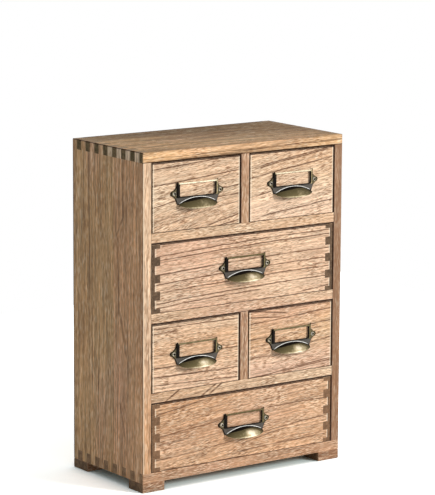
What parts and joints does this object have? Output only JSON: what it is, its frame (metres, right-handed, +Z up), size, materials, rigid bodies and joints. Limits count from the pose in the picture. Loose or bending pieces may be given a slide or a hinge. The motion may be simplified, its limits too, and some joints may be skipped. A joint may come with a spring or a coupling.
{
  "type": "desktop mini drawers",
  "caption": "Upright case of solid wood boards with finger-jointed corners and loose drawers, each drawn by a brass cup pull with a card frame.",
  "frame": {"origin": "on the ground in the middle of the part's box, which reaches from the tips of the pulls to the back of the case", "axes": "+X to the right along the front, +Y from the front to the back, +Z up; the drawers pull out along -Y"},
  "size_m": [0.289, 0.1612, 0.4],
  "materials": {
    "case_wood": "sanded, unvarnished, brown streaky grain",
    "shelf_wood": "sanded, unvarnished",
    "foot_wood": "sanded, unvarnished",
    "front_wood": "sanded, unvarnished, wavy brown grain",
    "drawer_wood": "sanded, unvarnished",
    "thin_wood": "thin plywood, sanded",
    "antique_brass": "darkened brass, rubbed bright at its arrises",
    "screw_brass": "darkened brass",
    "nail_steel": "bright wire nail"
  },
  "bodies": {
    "case": {"top_board": "case_wood", "bottom_board": "case_wood", "left_side": "case_wood", "right_side": "case_wood", "shelf_upper": "shelf_wood", "shelf_middle": "shelf_wood", "shelf_lower": "shelf_wood", "divider_upper": "shelf_wood", "divider_lower": "shelf_wood", "back_panel": "thin_wood", "back_nails": "nail_steel", "foot_front_left": "foot_wood", "foot_front_right": "foot_wood", "foot_back_left": "foot_wood", "foot_back_right": "foot_wood"},
    "top_left_drawer": {"top_left_front": "front_wood", "top_left_left_side": "drawer_wood", "top_left_right_side": "drawer_wood", "top_left_rear": "drawer_wood", "top_left_base": "thin_wood", "top_left_pull": "antique_brass", "top_left_screws": "screw_brass"},
    "top_right_drawer": {"top_right_front": "front_wood", "top_right_left_side": "drawer_wood", "top_right_right_side": "drawer_wood", "top_right_rear": "drawer_wood", "top_right_base": "thin_wood", "top_right_pull": "antique_brass", "top_right_screws": "screw_brass"},
    "upper_wide_drawer": {"upper_wide_front": "front_wood", "upper_wide_left_side": "drawer_wood", "upper_wide_right_side": "drawer_wood", "upper_wide_rear": "drawer_wood", "upper_wide_base": "thin_wood", "upper_wide_pull": "antique_brass", "upper_wide_screws": "screw_brass"},
    "lower_left_drawer": {"lower_left_front": "front_wood", "lower_left_left_side": "drawer_wood", "lower_left_right_side": "drawer_wood", "lower_left_rear": "drawer_wood", "lower_left_base": "thin_wood", "lower_left_pull": "antique_brass", "lower_left_screws": "screw_brass"},
    "lower_right_drawer": {"lower_right_front": "front_wood", "lower_right_left_side": "drawer_wood", "lower_right_right_side": "drawer_wood", "lower_right_rear": "drawer_wood", "lower_right_base": "thin_wood", "lower_right_pull": "antique_brass", "lower_right_screws": "screw_brass"},
    "bottom_wide_drawer": {"bottom_wide_front": "front_wood", "bottom_wide_left_side": "drawer_wood", "bottom_wide_right_side": "drawer_wood", "bottom_wide_rear": "drawer_wood", "bottom_wide_base": "thin_wood", "bottom_wide_pull": "antique_brass", "bottom_wide_screws": "screw_brass"}
  },
  "joints": [
    {"name": "top_left_slide", "type": "slide", "parent": "case", "child": "top_left_drawer", "axis": [0, -1, 0], "range_m": [0, 0.11]},
    {"name": "top_right_slide", "type": "slide", "parent": "case", "child": "top_right_drawer", "axis": [0, -1, 0], "range_m": [0, 0.11]},
    {"name": "upper_wide_slide", "type": "slide", "parent": "case", "child": "upper_wide_drawer", "axis": [0, -1, 0], "range_m": [0, 0.11]},
    {"name": "lower_left_slide", "type": "slide", "parent": "case", "child": "lower_left_drawer", "axis": [0, -1, 0], "range_m": [0, 0.11]},
    {"name": "lower_right_slide", "type": "slide", "parent": "case", "child": "lower_right_drawer", "axis": [0, -1, 0], "range_m": [0, 0.11]},
    {"name": "bottom_wide_slide", "type": "slide", "parent": "case", "child": "bottom_wide_drawer", "axis": [0, -1, 0], "range_m": [0, 0.11]}
  ]
}
